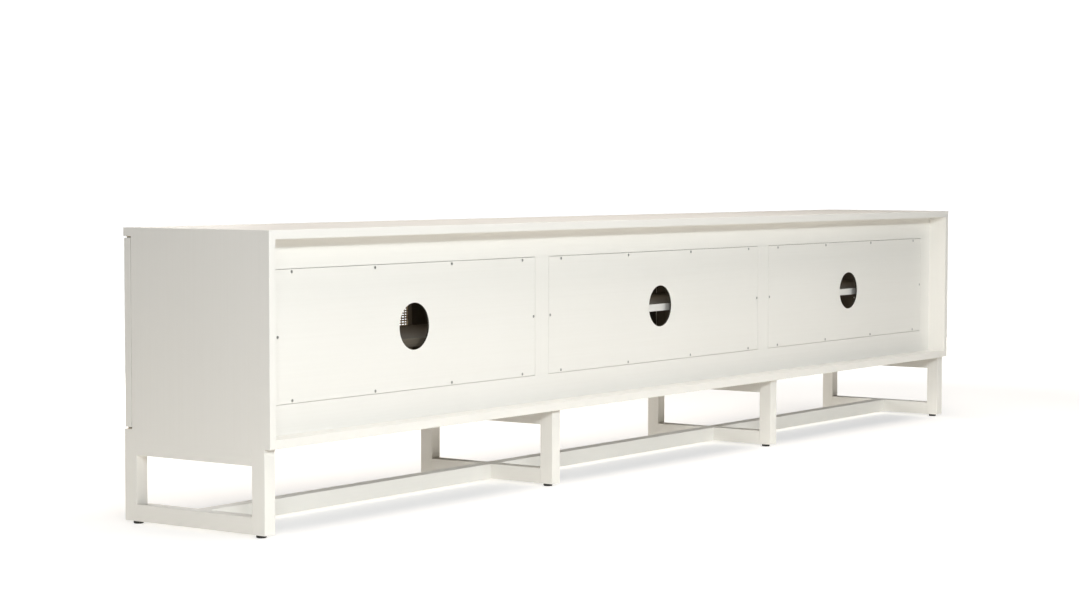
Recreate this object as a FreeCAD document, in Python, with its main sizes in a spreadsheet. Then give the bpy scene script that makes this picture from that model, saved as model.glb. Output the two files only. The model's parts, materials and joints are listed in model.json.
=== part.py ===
"""Long low media cabinet on four leg frames, with six pivoted doors and three access panels.

Frame: origin on the floor under the middle of the whole object, +X along its length,
the doors face -Y, the recessed back with its access panels faces +Y, +Z up. Millimetres.
Pieces, doors and leg frames are counted from -X to +X.
"""

import FreeCAD, Part
import math
import os
import Sketcher

DIMENSIONS = {
    # case
    "case_length": 2990, "case_depth": 400, "case_height": 610, "base_height": 178,
    "board": 18, "ease": 1, "overshoot": 5,
    # recessed back: a rebated frame with three screwed access panels
    "back_recess": 52, "back_thick": 18, "panel_thick": 4, "rebate_ledge": 14, "panel_play": 1,
    "panel_low": 257, "panel_high": 530, "middle_panel_half": 477,
    "outer_panel_near": 530, "outer_panel_far": 1420, "cable_radius": 50.8,
    # countersunk screws that hold the access panels
    "screw_edge": 6.5, "screw_inset": 50, "screw_head": 3.4, "screw_head_deep": 2.4,
    "screw_shank": 1.7, "screw_long": 16, "screw_slot": 0.9, "screw_slot_deep": 1.3,
    "screw_slot_long": 4.6,
    # shelves on pins
    "shelf_top": 397, "pin_pitch": 32, "shelf_front_in": 38, "shelf_play": 1.5,
    "pin_radius": 2.5, "pin_deep": 8, "pin_out": 9, "pin_collar": 4, "pin_inset": 60,
    "pin_collar_thick": 1,
    # leg frames, stretchers and glides
    "post_wide": 31, "post_deep": 34, "leg_setback": 15, "rail_high": 35,
    "tenon_long": 18, "tenon_thick": 11, "tenon_shoulder": 5,
    "stretcher_deep": 33, "stretcher_tenon": 10,
    "glide_radius": 10.5, "glide_high": 6.5, "glide_inset": 23, "glide_bevel": 1.2,
    "stem_radius": 4, "stem_long": 22,
    "bolt_radius": 3, "bolt_head": 6, "bolt_head_high": 6, "bolt_sink": 9,
    "bolt_bite": 12, "bolt_inset": 90, "bolt_socket": 2.9, "bolt_head_play": 0.5,
    # doors
    "door_thick": 18, "door_gap": 4, "door_head": 3.5, "stile": 70,
    "groove_lip": 2.5, "groove_wide": 3.5, "groove_deep": 8, "groove_stop": 12, "grille_play": 0.5,
    # pivots
    "pivot_in": 9, "pivot_back": 6, "pivot_radius": 2.5, "pivot_play": 0.05, "pivot_in_door": 20,
    "pivot_in_board": 8, "collar_radius": 4.5, "bush_radius": 4, "bush_deep": 10,
    "bush_flange": 6, "flange_thick": 1,
    # knobs and magnetic catches
    "knob_reach": 20, "knob_radius": 12, "knob_neck": 5, "knob_foot": 7.5, "knob_foot_high": 3,
    "knob_foot_swell": 7, "knob_foot_swell_high": 1.8, "knob_waist": 6.25, "knob_waist_high": 8.1,
    "knob_rim": 12.5, "knob_edge": 11.4, "knob_edge_high": 15.7, "knob_shoulder": 9.6,
    "knob_cap": 22, "knob_stud": 2, "knob_stud_long": 12,
    "catch_long": 46, "catch_deep": 14, "catch_high": 12, "catch_play": 0.4, "catch_corner": 2,
    "plate_wide": 16, "plate_high": 13, "plate_thick": 1.2, "plate_edge": 3,
}

DOC = FreeCAD.newDocument("media_cabinet")
SHEET = DOC.addObject("Spreadsheet::Sheet", "Sheet")
SUB_PARTS = []

# Planes that many pieces share, as formulas of the sheet's cells.
CORNER = "(Sheet.ease * (1 - sqrt(0.5)))"
FRONT = "(Sheet.knob_reach - Sheet.case_depth) / 2"
BACK = "(Sheet.knob_reach + Sheet.case_depth) / 2"
HALF = "Sheet.case_length / 2"
SIXTH = "Sheet.case_length / 6"
CEILING = "(Sheet.case_height - Sheet.board)"
DECK = "(Sheet.base_height + Sheet.board)"
INSIDE = f"({HALF} - Sheet.board)"
DOOR_BACK = f"({FRONT} + Sheet.door_thick)"
CARCASE_FRONT = f"({DOOR_BACK} + Sheet.door_gap)"
BACK_FACE = f"({BACK} - Sheet.back_recess)"
BACK_MIDDLE = f"({BACK_FACE} - Sheet.panel_thick)"
BACK_REAR = f"({BACK_FACE} - Sheet.back_thick)"
LEG_BACK = f"({BACK} - Sheet.leg_setback)"
LEG_MIDDLE = f"(({FRONT} + {LEG_BACK}) / 2)"
DOOR_LOW = f"({DECK} + Sheet.door_head)"
DOOR_HIGH = f"({CEILING} - Sheet.door_head)"
DOORS = 6
PIN_STEPS = (-2, -1, 0, 1, 2)
NEAR = 0.01
X_AXIS = FreeCAD.Vector(1, 0, 0)
Y_AXIS = FreeCAD.Vector(0, 1, 0)
Z_AXIS = FreeCAD.Vector(0, 0, 1)


# ---------------------------------------------------------------- document helpers

def fill_sheet():
    """Writes one row per dimension: its name, its value and the alias of the value's cell."""
    for row, (alias, value) in enumerate(DIMENSIONS.items(), start=1):
        SHEET.set(f"A{row}", alias)
        SHEET.set(f"B{row}", str(value))
        SHEET.setAlias(f"B{row}", alias)
    DOC.recompute()


def cell(alias):
    """A cell's number, for the shapes that are made in code."""
    return float(SHEET.get(alias))


def keep(piece, label):
    """Names a finished sub-part; its label is also its file's name."""
    piece.Label = label
    SUB_PARTS.append(piece)
    return piece


def bind(item, **formulas):
    """Binds properties to formulas; a double underscore stands for a dot in the property's path."""
    for path, formula in formulas.items():
        item.setExpression(path.replace("__", "."), formula)
    return item


def box(name, x, y, z):
    """A block between two planes along each axis; each pair is (low formula, high formula)."""
    piece = DOC.addObject("Part::Box", name)
    return bind(
        piece,
        Length=f"({x[1]}) - ({x[0]})", Width=f"({y[1]}) - ({y[0]})", Height=f"({z[1]}) - ({z[0]})",
        Placement__Base__x=x[0], Placement__Base__y=y[0], Placement__Base__z=z[0],
    )


def fuse(name, pieces):
    piece = DOC.addObject("Part::MultiFuse", name)
    piece.Shapes = pieces
    piece.Refine = True
    return piece


def cut(name, base, tool):
    piece = DOC.addObject("Part::Cut", name)
    piece.Base = base
    piece.Tool = tool
    piece.Refine = False
    return piece


def compound(name, pieces):
    piece = DOC.addObject("Part::Compound", name)
    piece.Links = pieces
    return piece


def solids(name, shapes):
    """One plain feature that holds shapes made in code."""
    piece = DOC.addObject("Part::Feature", name)
    piece.Shape = Part.makeCompound(shapes)
    return piece


def eased(name, base, along, sharp_top=False):
    """Rounds the edges of a block that run along one axis; sharp_top leaves out the upper two."""
    DOC.recompute()
    piece = DOC.addObject("Part::Fillet", name)
    piece.Base = base
    radius, top = cell("ease"), base.Shape.BoundBox.ZMax
    piece.Edges = [
        (number, radius, radius)
        for number, edge in enumerate(base.Shape.Edges, start=1)
        if abs(edge.tangentAt(edge.FirstParameter).dot(along)) > 1 - NEAR
        and not (sharp_top and abs(edge.CenterOfMass.z - top) < NEAR)
    ]
    return piece


def new_body(name):
    return DOC.addObject("PartDesign::Body", name)


def sketch_on(body, role, name, offset):
    """A sketch on one of the body's own origin planes, moved along that plane's normal."""
    sketch = body.newObject("Sketcher::SketchObject", name)
    plane = next(item for item in body.Origin.OriginFeatures if item.Role == role)
    sketch.AttachmentSupport = [(plane, "")]
    sketch.MapMode = "FlatFace"
    return bind(sketch, AttachmentOffset__Base__z=offset)


def hold_point(sketch, element, position, x, y):
    """Fixes a point of the sketch at two formulas, measured from the sketch's origin."""
    for kind, formula in (("DistanceX", x), ("DistanceY", y)):
        number = sketch.addConstraint(Sketcher.Constraint(kind, -1, 1, element, position, 1.0))
        sketch.setExpression(f"Constraints[{number}]", formula)


def polygon(sketch, corners):
    """A closed outline with every corner held by two formulas."""
    count = len(corners)
    first = sketch.GeometryCount
    start = [
        FreeCAD.Vector(math.cos(2 * math.pi * i / count), math.sin(2 * math.pi * i / count), 0)
        for i in range(count)
    ]
    for i in range(count):
        sketch.addGeometry(Part.LineSegment(start[i], start[(i + 1) % count]), False)
    for i in range(count):
        following = first + (i + 1) % count
        sketch.addConstraint(Sketcher.Constraint("Coincident", first + i, 2, following, 1))
    for i, (x, y) in enumerate(corners):
        hold_point(sketch, first + i, 1, x, y)


def rectangle(sketch, x, y):
    polygon(sketch, [(x[0], y[0]), (x[1], y[0]), (x[1], y[1]), (x[0], y[1])])


def circle(sketch, x, y, radius):
    element = sketch.addGeometry(Part.Circle(FreeCAD.Vector(), Z_AXIS, 1.0), False)
    hold_point(sketch, element, 3, x, y)
    number = sketch.addConstraint(Sketcher.Constraint("Radius", element, 1.0))
    sketch.setExpression(f"Constraints[{number}]", radius)


def pad(body, sketch, length):
    feature = body.newObject("PartDesign::Pad", sketch.Name + "_pad")
    feature.Profile = sketch
    bind(feature, Length=length)
    DOC.recompute()
    return feature


def pocket(body, sketch, length, toward_normal=False):
    """Cuts a sketch into the body and makes sure that it did remove material."""
    before = body.Shape.Volume
    feature = body.newObject("PartDesign::Pocket", sketch.Name + "_pocket")
    feature.Profile = sketch
    feature.Reversed = toward_normal
    bind(feature, Length=length)
    DOC.recompute()
    if not body.Shape.Volume < before:
        raise RuntimeError(f"{sketch.Name} cuts nothing")
    return feature


def ease_body(body, chosen):
    """Rounds the edges of the body's tip that the test chooses."""
    tip = body.Tip
    names = [f"Edge{i}" for i, edge in enumerate(tip.Shape.Edges, start=1) if chosen(edge)]
    feature = body.newObject("PartDesign::Fillet", body.Name + "_easing")
    feature.Base = (tip, names)
    bind(feature, Radius="Sheet.ease")
    DOC.recompute()
    return feature


# ---------------------------------------------------------------- places of what repeats

def panel_spans():
    """Low and high X of the three openings for the access panels, as formulas."""
    return [
        ("-Sheet.outer_panel_far", "-Sheet.outer_panel_near"),
        ("-Sheet.middle_panel_half", "Sheet.middle_panel_half"),
        ("Sheet.outer_panel_near", "Sheet.outer_panel_far"),
    ]


def panel_numbers():
    """The same openings as numbers."""
    far, near, half = cell("outer_panel_far"), cell("outer_panel_near"), cell("middle_panel_half")
    return [(-far, -near), (-half, half), (near, far)]


def bay_spans():
    """Low and high X of the clear width of each bay, as formulas."""
    wall = f"({SIXTH} + Sheet.board / 2)"
    face = f"({SIXTH} - Sheet.board / 2)"
    return [(f"-{INSIDE}", f"-{wall}"), (f"-{face}", face), (wall, INSIDE)]


def bay_numbers():
    inside = cell("case_length") / 2 - cell("board")
    sixth, half_board = cell("case_length") / 6, cell("board") / 2
    near, far = sixth - half_board, sixth + half_board
    return [(-inside, -far), (-near, near), (far, inside)]


def door_span(number):
    """Low and high X of a door, counted from 0, as formulas."""
    low = f"(({number} - 3) * {SIXTH} + Sheet.door_gap / 2)"
    high = f"(({number} - 2) * {SIXTH} - Sheet.door_gap / 2)"
    return low, high


def hinged_low(number):
    """The doors of a bay meet in its middle, so even ones turn on their low X side."""
    return number % 2 == 0


def from_edge(number, side, distance):
    """X at a distance in from a door's pivot edge or its free edge."""
    low, high = door_span(number)
    at_low = hinged_low(number) == (side == "pivot")
    return f"({low} + {distance})" if at_low else f"({high} - {distance})"


def door_edge_number(number, side, distance):
    """from_edge as a number."""
    sixth, half_gap = cell("case_length") / 6, cell("door_gap") / 2
    if hinged_low(number) == (side == "pivot"):
        return (number - 3) * sixth + half_gap + distance
    return (number - 2) * sixth - half_gap - distance


def front_number():
    return (cell("knob_reach") - cell("case_depth")) / 2


def back_number():
    return (cell("knob_reach") + cell("case_depth")) / 2


def ceiling_number():
    return cell("case_height") - cell("board")


def deck_number():
    return cell("base_height") + cell("board")


def leg_spans():
    """Low and high X of the four leg frames, as formulas."""
    wide, half_wide = "Sheet.post_wide", "Sheet.post_wide / 2"
    return [
        (f"-{HALF}", f"-({HALF} - {wide})"),
        (f"-({SIXTH} + {half_wide})", f"-({SIXTH} - {half_wide})"),
        (f"({SIXTH} - {half_wide})", f"({SIXTH} + {half_wide})"),
        (f"({HALF} - {wide})", HALF),
    ]


def leg_middles():
    outer = (cell("case_length") - cell("post_wide")) / 2
    inner = cell("case_length") / 6
    return [-outer, -inner, inner, outer]


# ---------------------------------------------------------------- small turned pieces

def cylinder(x, y, z, radius, length, along=Z_AXIS):
    return Part.makeCylinder(radius, length, FreeCAD.Vector(x, y, z), along)


def screw_blank(x, z):
    """A countersunk screw with no slots, driven towards -Y, its head level with the panel's face."""
    face = back_number() - cell("back_recess")
    head, shank, deep = cell("screw_head"), cell("screw_shank"), cell("screw_head_deep")
    cone = Part.makeCone(head, shank, deep, FreeCAD.Vector(x, face, z), -Y_AXIS)
    rod = cylinder(x, face - deep, z, shank, cell("screw_long") - deep, -Y_AXIS)
    return cone.fuse(rod).removeSplitter()


def panel_screw(x, z):
    """The same screw with the cross slots in its head."""
    face = back_number() - cell("back_recess")
    wide, deep, long = cell("screw_slot"), cell("screw_slot_deep"), cell("screw_slot_long")
    reach = deep + cell("overshoot")
    cross = [
        Part.makeBox(a, reach, b, FreeCAD.Vector(x - a / 2, face - deep, z - b / 2))
        for a, b in ((long, wide), (wide, long))
    ]
    return screw_blank(x, z).cut(cross[0].fuse(cross[1]))


def panel_screw_places():
    """Ten screws a panel: four along the top, four along the bottom, one halfway up each side."""
    edge, inset = cell("screw_edge"), cell("screw_inset")
    low, high = cell("panel_low"), cell("panel_high")
    places = []
    for left, right in panel_numbers():
        middle, reach = (left + right) / 2, (right - left) / 2
        for share in (-1, -1 / 3, 1 / 3, 1):
            x = middle + share * (reach - inset)
            places += [(x, low + edge), (x, high - edge)]
        places += [(left + edge, (low + high) / 2), (right - edge, (low + high) / 2)]
    return places


def make_panel_screws():
    """The screws, and the room that they take out of the panels and the frame behind them."""
    places = panel_screw_places()
    keep(solids("panel_screws", [panel_screw(x, z) for x, z in places]), "panel_screws")
    return solids("panel_screw_room", [screw_blank(x, z) for x, z in places])


def shelf_levels():
    """Height of each shelf's top: the one at +X hangs one pin hole lower."""
    top, pitch = cell("shelf_top"), cell("pin_pitch")
    return [top, top, top - pitch]


def pin_rows():
    """The two Y places of the pin holes."""
    front = front_number() + cell("shelf_front_in") + cell("pin_inset")
    back = back_number() - cell("back_recess") - cell("back_thick") - cell("pin_inset")
    return front, back


def shelf_pin(x, y, z, out):
    """A pin pressed into a bay wall at x; out is +1 or -1, the way it sticks out.

    Its collar is cut level with the pin's top, where the shelf lies.
    """
    radius, deep = cell("pin_radius"), cell("pin_deep")
    wide, thick = cell("pin_collar"), cell("pin_collar_thick")
    rod = cylinder(x - out * deep, y, z, radius, deep + cell("pin_out"), out * X_AXIS)
    collar = cylinder(x, y, z, wide, thick, out * X_AXIS)
    corner = FreeCAD.Vector(x - thick, y - wide, z + radius - 2 * wide)
    below_shelf = Part.makeBox(2 * thick, 2 * wide, 2 * wide, corner)
    return rod.fuse(collar.common(below_shelf)).removeSplitter()


def make_shelf_pins():
    shapes = []
    for (low, high), top in zip(bay_numbers(), shelf_levels()):
        z = top - cell("board") - cell("pin_radius")
        for y in pin_rows():
            shapes += [shelf_pin(low, y, z, 1), shelf_pin(high, y, z, -1)]
    return keep(solids("shelf_pins", shapes), "shelf_pins")


def pin_holes(name, faces):
    """Rows of pin holes in a wall; faces lists (x of the wall's face, way out of the wall)."""
    radius, deep = cell("pin_radius"), cell("pin_deep")
    middle = cell("shelf_top") - cell("board") - radius
    shapes = [
        cylinder(x, y, middle + step * cell("pin_pitch"), radius, deep, -out * X_AXIS)
        for x, out in faces
        for y in pin_rows()
        for step in PIN_STEPS
    ]
    return solids(name, shapes)


def make_foot_glides():
    """A glide under each end of each leg frame: a bevelled disc on a stem."""
    radius, high, bevel = cell("glide_radius"), cell("glide_high"), cell("glide_bevel")
    shapes = []
    for x in leg_middles():
        for y in glide_rows():
            foot = Part.makeCone(radius - bevel, radius, bevel, FreeCAD.Vector(x, y, 0))
            disc = cylinder(x, y, bevel, radius, high - bevel)
            stem = cylinder(x, y, high, cell("stem_radius"), cell("stem_long"))
            shapes.append(foot.fuse([disc, stem]).removeSplitter())
    return keep(solids("foot_glides", shapes), "foot_glides")


def glide_rows():
    inset = cell("glide_inset")
    return front_number() + inset, back_number() - cell("leg_setback") - inset


def make_leg_bolts():
    """Two bolts a leg frame, up through its top rail into the deck, heads in counterbores."""
    sink, head_high = cell("bolt_sink"), cell("bolt_head_high")
    seat = cell("base_height") - cell("rail_high") + sink
    length = cell("rail_high") - sink + cell("bolt_bite")
    shapes = []
    for x in leg_middles():
        for y in bolt_rows():
            head = cylinder(x, y, seat - head_high, cell("bolt_head"), head_high)
            rod = cylinder(x, y, seat, cell("bolt_radius"), length)
            socket = hex_socket(x, y, seat - head_high, head_high / 2)
            shapes.append(head.fuse(rod).removeSplitter().cut(socket))
    return keep(solids("leg_bolts", shapes), "leg_bolts")


def hex_socket(x, y, z, deep):
    """The six-sided recess for the key in a bolt's head, from z upwards."""
    radius = cell("bolt_socket")
    angles = [math.radians(60 * corner) for corner in range(7)]
    outline = [
        FreeCAD.Vector(x + radius * math.cos(a), y + radius * math.sin(a), z) for a in angles
    ]
    return Part.Face(Part.makePolygon(outline)).extrude(deep * Z_AXIS)


def bolt_rows():
    inset = cell("bolt_inset")
    return front_number() + inset, back_number() - cell("leg_setback") - inset


def counterbores():
    """The room for the bolt heads in the top rails."""
    under = cell("base_height") - cell("rail_high")
    radius = cell("bolt_head") + cell("bolt_head_play")
    return solids("counterbores", [
        cylinder(x, y, under, radius, cell("bolt_sink"))
        for x in leg_middles()
        for y in bolt_rows()
    ])


def pivot_places():
    """X of each door's pivot, and the Y they share."""
    inset = cell("pivot_in")
    return (
        [door_edge_number(number, "pivot", inset) for number in range(DOORS)],
        front_number() + cell("pivot_back"),
    )


def bushing(x, y, face, up):
    """A flanged sleeve let into a board's face; up is +1 where it goes up into the board."""
    bore, extra = cell("pivot_radius") + cell("pivot_play"), cell("overshoot")
    sleeve = cylinder(x, y, face, cell("bush_radius"), cell("bush_deep"), up * Z_AXIS)
    flange = cylinder(x, y, face, cell("bush_flange"), cell("flange_thick"), -up * Z_AXIS)
    hole = cylinder(x, y, face - up * extra, bore, cell("bush_deep") + 2 * extra, up * Z_AXIS)
    return sleeve.fuse(flange).removeSplitter().cut(hole)


def make_pivot_bushings():
    places, y = pivot_places()
    shapes = [bushing(x, y, ceiling_number(), 1) for x in places]
    shapes += [bushing(x, y, deck_number(), -1) for x in places]
    return keep(solids("pivot_bushings", shapes), "pivot_bushings")


def pivot_rooms(label):
    """The bushings' holes, which also go through the tips of the end panels' mitres."""
    places, y = pivot_places()
    radius, deep = cell("bush_radius"), cell("bush_deep")
    faces = ((ceiling_number(), 1), (deck_number(), -1))
    return solids(label, [
        cylinder(x, y, z, radius, deep, up * Z_AXIS) for x in places for z, up in faces
    ])


def make_magnetic_catches():
    """A double catch under the top board in the middle of each bay, with two magnet faces."""
    long, deep, high = cell("catch_long"), cell("catch_deep"), cell("catch_high")
    play = cell("plate_thick") + cell("catch_play")
    y = front_number() + cell("door_thick") + play
    shapes = []
    for middle in (-cell("case_length") / 3, 0, cell("case_length") / 3):
        z = ceiling_number() - high
        housing = Part.makeBox(long, deep, high, FreeCAD.Vector(middle - long / 2, y, z))
        corners = [edge for edge in housing.Edges if abs(edge.Length - high) < NEAR]
        shapes.append(housing.makeFillet(cell("catch_corner"), corners))
    return keep(solids("magnetic_catches", shapes), "magnetic_catches")


# ---------------------------------------------------------------- case

def pivot_sockets(body, plane_height, toward_normal):
    """Blind holes for the bushings in the top board's or the deck's inner face."""
    sketch = sketch_on(body, "XY_Plane", body.Name + "_sockets", plane_height)
    for number in range(DOORS):
        x = from_edge(number, "pivot", "Sheet.pivot_in")
        circle(sketch, x, f"{FRONT} + Sheet.pivot_back", "Sheet.bush_radius")
    pocket(body, sketch, "Sheet.bush_deep", toward_normal)


def long_outer_edge(height):
    """Chooses the long edges of a board's outer face."""
    long = cell("case_length") / 2
    return lambda edge: edge.Length > long and abs(edge.CenterOfMass.z - height) < NEAR


def mitred_board(body, corner, inner):
    """A board across the case that meets the end panels in a mitre.

    corner is the profile of its +X outer corner, as points from the mitre outwards along the
    outer face, and inner is the inner face's height.
    """
    outline = sketch_on(body, "XZ_Plane", body.Name + "_outline", f"-({BACK})")
    mirrored = [(f"-({x})", z) for x, z in reversed(corner)]
    polygon(outline, mirrored + [(f"-{INSIDE}", inner), (INSIDE, inner)] + corner)
    pad(body, outline, "Sheet.case_depth")


def make_top_panel():
    """The top board, with sockets for the doors' upper pivots."""
    body = new_body("top_panel_body")
    corner = [
        (f"{HALF} - {CORNER}", f"Sheet.case_height - {CORNER}"),
        (f"{HALF} - Sheet.ease", "Sheet.case_height"),
    ]
    mitred_board(body, corner, CEILING)
    ease_body(body, long_outer_edge(cell("case_height")))
    pivot_sockets(body, CEILING, toward_normal=True)
    return keep(body, "top_panel")


def make_bottom_panel(bolts):
    """The deck, with sockets for the lower pivots and the leg bolts' holes in its underside.

    Its corners are sharp, so that the case's ends run on into the leg frames with no groove.
    """
    body = new_body("bottom_panel_body")
    mitred_board(body, [(HALF, "Sheet.base_height")], DECK)
    ease_body(body, long_outer_edge(cell("base_height")))
    pivot_sockets(body, DECK, toward_normal=False)
    return keep(cut("bottom_panel_cut", body, bolts), "bottom_panel")


def make_end_panel(label, side):
    """A mitred end board; the door closes over the notch in its front edge."""
    body = new_body(label + "_body")
    outline = sketch_on(body, "XZ_Plane", label + "_outline", f"-({BACK})")
    tip = f"{side} * ({HALF} - {CORNER})"
    polygon(outline, [
        (f"{side} * {HALF}", "Sheet.base_height"),
        (f"{side} * {HALF}", "Sheet.case_height - Sheet.ease"),
        (tip, f"Sheet.case_height - {CORNER}"),
        (f"{side} * {INSIDE}", CEILING), (f"{side} * {INSIDE}", DECK),
    ])
    pad(body, outline, "Sheet.case_depth")
    outer = side * cell("case_length") / 2
    upright = cell("case_height") - cell("base_height") - cell("ease")
    ease_body(body, lambda edge: (
        abs(edge.CenterOfMass.x - outer) < NEAR and abs(edge.Length - upright) < NEAR
    ))
    start = f"-({HALF} + Sheet.overshoot)" if side < 0 else f"{INSIDE} - Sheet.overshoot"
    notch = sketch_on(body, "YZ_Plane", label + "_notch", start)
    rectangle(notch, (f"{FRONT} - Sheet.overshoot", CARCASE_FRONT), (DECK, CEILING))
    pocket(body, notch, "Sheet.board + 2 * Sheet.overshoot", toward_normal=True)
    inside = side * (cell("case_length") / 2 - cell("board"))
    holes = pin_holes(label + "_holes", [(inside, -side)])
    tools = compound(label + "_tools", [holes, pivot_rooms(label + "_pivot_rooms")])
    return keep(cut(label + "_cut", body, tools), label)


def make_partition(label, side):
    """An upright between two bays, with pin holes in both faces."""
    middle = f"{SIXTH}" if side > 0 else f"-{SIXTH}"
    board = box(
        label + "_board",
        (f"{middle} - Sheet.board / 2", f"{middle} + Sheet.board / 2"),
        (CARCASE_FRONT, BACK_REAR),
        (DECK, CEILING),
    )
    centre, half_board = side * cell("case_length") / 6, cell("board") / 2
    holes = pin_holes(label + "_holes", [(centre - half_board, -1), (centre + half_board, 1)])
    return keep(cut(label + "_cut", eased(label + "_eased", board, Z_AXIS), holes), label)


def make_shelf(label, span, drop):
    """A loose shelf; drop is how many pin holes it hangs below the others."""
    top = f"(Sheet.shelf_top - {drop} * Sheet.pin_pitch)"
    board = box(
        label + "_board",
        (f"{span[0]} + Sheet.shelf_play", f"{span[1]} - Sheet.shelf_play"),
        (f"{FRONT} + Sheet.shelf_front_in", f"{BACK_REAR} - Sheet.shelf_play"),
        (f"{top} - Sheet.board", top),
    )
    return keep(eased(label + "_eased", board, X_AXIS), label)


# ---------------------------------------------------------------- recessed back

def make_back_rail(label, at_top, screws):
    """A rail across the whole back, rebated along the edge that the access panels meet."""
    x = (f"-{INSIDE}", INSIDE)
    if at_top:
        face = ("Sheet.panel_high", CEILING)
        ledge = ("Sheet.panel_high - Sheet.rebate_ledge", CEILING)
    else:
        face = (DECK, "Sheet.panel_low")
        ledge = (DECK, "Sheet.panel_low + Sheet.rebate_ledge")
    outer = box(label + "_face", x, (BACK_MIDDLE, BACK_FACE), face)
    inner = box(label + "_ledge", x, (BACK_REAR, BACK_MIDDLE), ledge)
    return keep(cut(label + "_cut", fuse(label + "_rail", [outer, inner]), screws), label)


def make_back_stile(label, x, ledge_low, ledge_high, screws):
    """An upright of the back frame, halved over the rails, with a ledge beside each panel."""
    low = f"({x[0]} - {ledge_low} * Sheet.rebate_ledge)"
    high = f"({x[1]} + {ledge_high} * Sheet.rebate_ledge)"
    outer = box(
        label + "_face", x, (BACK_MIDDLE, BACK_FACE), ("Sheet.panel_low", "Sheet.panel_high")
    )
    inner = box(
        label + "_ledge", (low, high), (BACK_REAR, BACK_MIDDLE),
        ("Sheet.panel_low + Sheet.rebate_ledge", "Sheet.panel_high - Sheet.rebate_ledge"),
    )
    return keep(cut(label + "_cut", fuse(label + "_stile", [outer, inner]), screws), label)


def make_back_stiles(screws):
    near, far = "Sheet.outer_panel_near", "Sheet.outer_panel_far"
    half = "Sheet.middle_panel_half"
    make_back_stile("back_stile_1", (f"-{INSIDE}", f"-{far}"), 0, 1, screws)
    make_back_stile("back_stile_2", (f"-{near}", f"-{half}"), 1, 1, screws)
    make_back_stile("back_stile_3", (half, near), 1, 1, screws)
    make_back_stile("back_stile_4", (far, INSIDE), 1, 0, screws)


def make_access_panel(label, span, screws):
    """A thin panel set flush in the back frame, with a round hole for cables."""
    body = new_body(label + "_body")
    outline = sketch_on(body, "XZ_Plane", label + "_outline", f"-({BACK_FACE})")
    play = "Sheet.panel_play"
    rectangle(
        outline,
        (f"{span[0]} + {play}", f"{span[1]} - {play}"),
        (f"Sheet.panel_low + {play}", f"Sheet.panel_high - {play}"),
    )
    pad(body, outline, "Sheet.panel_thick")
    hole = sketch_on(body, "XZ_Plane", label + "_hole", f"-({BACK_FACE})")
    circle(
        hole, f"({span[0]} + {span[1]}) / 2", "(Sheet.panel_low + Sheet.panel_high) / 2",
        "Sheet.cable_radius",
    )
    pocket(body, hole, "Sheet.panel_thick", toward_normal=True)
    return keep(cut(label + "_cut", body, screws), label)


# ---------------------------------------------------------------- base

def make_leg_rails(number, x, tools):
    """The top and bottom rail of one leg frame, tenoned into its posts."""
    name = f"leg_rails_{number}"
    middle = f"(({x[0]}) + ({x[1]})) / 2"
    reach = (
        f"{FRONT} + Sheet.post_deep - Sheet.tenon_long",
        f"{LEG_BACK} - Sheet.post_deep + Sheet.tenon_long",
    )
    tongue = (f"{middle} - Sheet.tenon_thick / 2", f"{middle} + Sheet.tenon_thick / 2")
    shoulder = "Sheet.tenon_shoulder"
    levels = {
        "low": ("Sheet.glide_high", "Sheet.glide_high + Sheet.rail_high"),
        "high": ("Sheet.base_height - Sheet.rail_high", "Sheet.base_height"),
    }
    rails = []
    for level, (bottom, top) in levels.items():
        span = (f"{FRONT} + Sheet.post_deep", f"{LEG_BACK} - Sheet.post_deep")
        bar = box(f"{name}_{level}", x, span, (bottom, top))
        bar = eased(f"{name}_{level}_eased", bar, Y_AXIS, sharp_top=(level == "high"))
        height = (f"{bottom} + {shoulder}", f"{top} - {shoulder}")
        tenon = box(f"{name}_{level}_tenon", tongue, reach, height)
        rails.append(cut(f"{name}_{level}_cut", fuse(f"{name}_{level}_rail", [bar, tenon]), tools))
    return keep(compound(name + "_pair", rails), name)


def make_leg_posts(number, x, tools):
    """The front and back post of one leg frame."""
    name = f"leg_posts_{number}"
    spans = {
        "front": (FRONT, f"{FRONT} + Sheet.post_deep"),
        "back": (f"{LEG_BACK} - Sheet.post_deep", LEG_BACK),
    }
    posts = []
    for place, y in spans.items():
        post = box(f"{name}_{place}", x, y, ("Sheet.glide_high", "Sheet.base_height"))
        posts.append(cut(f"{name}_{place}_cut", eased(f"{name}_{place}_eased", post, Z_AXIS), tools))
    return keep(compound(name + "_pair", posts), name)


def make_stretchers():
    """Three rails in line that tie the leg frames together at mid depth, just off the floor."""
    frames = leg_spans()
    half_deep, stub = "Sheet.stretcher_deep / 2", "Sheet.stretcher_tenon"
    half_thick, shoulder = "Sheet.tenon_thick / 2", "Sheet.tenon_shoulder"
    pieces = []
    for number in range(3):
        name = f"stretcher_{number + 1}"
        low, high = frames[number][1], frames[number + 1][0]
        bottom, top = "Sheet.glide_high", "(Sheet.glide_high + Sheet.rail_high)"
        bar = box(
            name + "_bar", (low, high),
            (f"{LEG_MIDDLE} - {half_deep}", f"{LEG_MIDDLE} + {half_deep}"), (bottom, top),
        )
        tenon = box(
            name + "_tenon", (f"{low} - {stub}", f"{high} + {stub}"),
            (f"{LEG_MIDDLE} - {half_thick}", f"{LEG_MIDDLE} + {half_thick}"),
            (f"{bottom} + {shoulder}", f"{top} - {shoulder}"),
        )
        pieces.append(keep(fuse(name + "_rail", [eased(name + "_eased", bar, X_AXIS), tenon]), name))
    return pieces


def make_base(glides, bolts):
    stretchers = make_stretchers()
    rail_tools = compound("rail_tools", stretchers + [bolts, counterbores(), glides])
    for number, x in enumerate(leg_spans(), start=1):
        rails = make_leg_rails(number, x, rail_tools)
        make_leg_posts(number, x, compound(f"post_tools_{number}", [rails, glides]))


# ---------------------------------------------------------------- doors

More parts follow.
